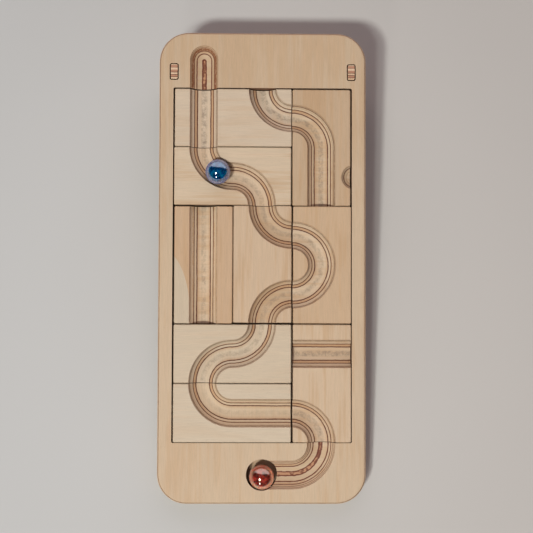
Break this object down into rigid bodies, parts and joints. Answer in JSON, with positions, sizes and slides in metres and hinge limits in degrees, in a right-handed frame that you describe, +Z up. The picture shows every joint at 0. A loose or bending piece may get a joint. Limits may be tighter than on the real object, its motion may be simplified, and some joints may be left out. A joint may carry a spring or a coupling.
{
  "type": "marble track tile puzzle",
  "caption": "Leaning plywood tray of loose domino tiles with round-bottomed marble tracks, a start groove, a finish cup and glass marbles.",
  "frame": {"origin": "middle of the part's footprint, on the surface that it stands on", "axes": "+Y from the low finish end to the raised start end, +Z up, +X to the right as seen from the finish end"},
  "size_m": [0.1336, 0.3026, 0.0516],
  "materials": {
    "frame_birch": "bare sanded birch plywood, grain along the length",
    "base_birch": "bare birch plywood, thin panel",
    "stand_birch": "bare birch plywood, its layers showing on the edges",
    "pale_tile_birch": "bare sanded birch plywood, pale face, grain across",
    "tile_birch": "bare sanded birch plywood, grain along the tile",
    "blue_lustre": "opaque glass with a mirror-like lustre coat",
    "red_lustre": "opaque glass with a mirror-like lustre coat"
  },
  "bodies": {
    "tray": {"tray_frame": "frame_birch", "tray_base": "base_birch"},
    "stand": {"tilt_stand": "stand_birch"},
    "tile_start_bend": {"tile_start_bend": "pale_tile_birch"},
    "tile_upper_s": {"tile_upper_s": "pale_tile_birch"},
    "tile_hook": {"tile_hook": "tile_birch"},
    "tile_straight": {"tile_straight": "tile_birch"},
    "tile_twin_bend": {"tile_twin_bend": "tile_birch"},
    "tile_u_turn": {"tile_u_turn": "tile_birch"},
    "tile_lower_s": {"tile_lower_s": "pale_tile_birch"},
    "tile_low_bend": {"tile_low_bend": "pale_tile_birch"},
    "tile_exit_bend": {"tile_exit_bend": "tile_birch"},
    "marble_blue": {"marble_blue": "blue_lustre"},
    "marble_red": {"marble_red": "red_lustre"}
  },
  "joints": [
    {"name": "stand_pull", "type": "slide", "parent": "tray", "child": "stand", "axis": [0, 0.1219, -0.9925], "range_m": [0, 0.025]},
    {"name": "start_bend_lift", "type": "slide", "parent": "tray", "child": "tile_start_bend", "axis": [0, -0.1219, 0.9925], "range_m": [0, 0.04]},
    {"name": "upper_s_lift", "type": "slide", "parent": "tray", "child": "tile_upper_s", "axis": [0, -0.1219, 0.9925], "range_m": [0, 0.04]},
    {"name": "hook_lift", "type": "slide", "parent": "tray", "child": "tile_hook", "axis": [0, -0.1219, 0.9925], "range_m": [0, 0.04]},
    {"name": "straight_lift", "type": "slide", "parent": "tray", "child": "tile_straight", "axis": [0, -0.1219, 0.9925], "range_m": [0, 0.04]},
    {"name": "twin_bend_lift", "type": "slide", "parent": "tray", "child": "tile_twin_bend", "axis": [0, -0.1219, 0.9925], "range_m": [0, 0.04]},
    {"name": "u_turn_lift", "type": "slide", "parent": "tray", "child": "tile_u_turn", "axis": [0, -0.1219, 0.9925], "range_m": [0, 0.04]},
    {"name": "lower_s_lift", "type": "slide", "parent": "tray", "child": "tile_lower_s", "axis": [0, -0.1219, 0.9925], "range_m": [0, 0.04]},
    {"name": "low_bend_lift", "type": "slide", "parent": "tray", "child": "tile_low_bend", "axis": [0, -0.1219, 0.9925], "range_m": [0, 0.04]},
    {"name": "exit_bend_lift", "type": "slide", "parent": "tray", "child": "tile_exit_bend", "axis": [0, -0.1219, 0.9925], "range_m": [0, 0.04]},
    {"name": "blue_roll", "type": "hinge", "parent": "tile_upper_s", "child": "marble_blue", "pos_m": [-0.01925, 0.0758, 0.04281], "axis": [0, -0.1219, 0.9925], "range_deg": [-33, 30]},
    {"name": "red_lift", "type": "slide", "parent": "tray", "child": "marble_red", "axis": [0, -0.1219, 0.9925], "range_m": [0, 0.03]}
  ]
}
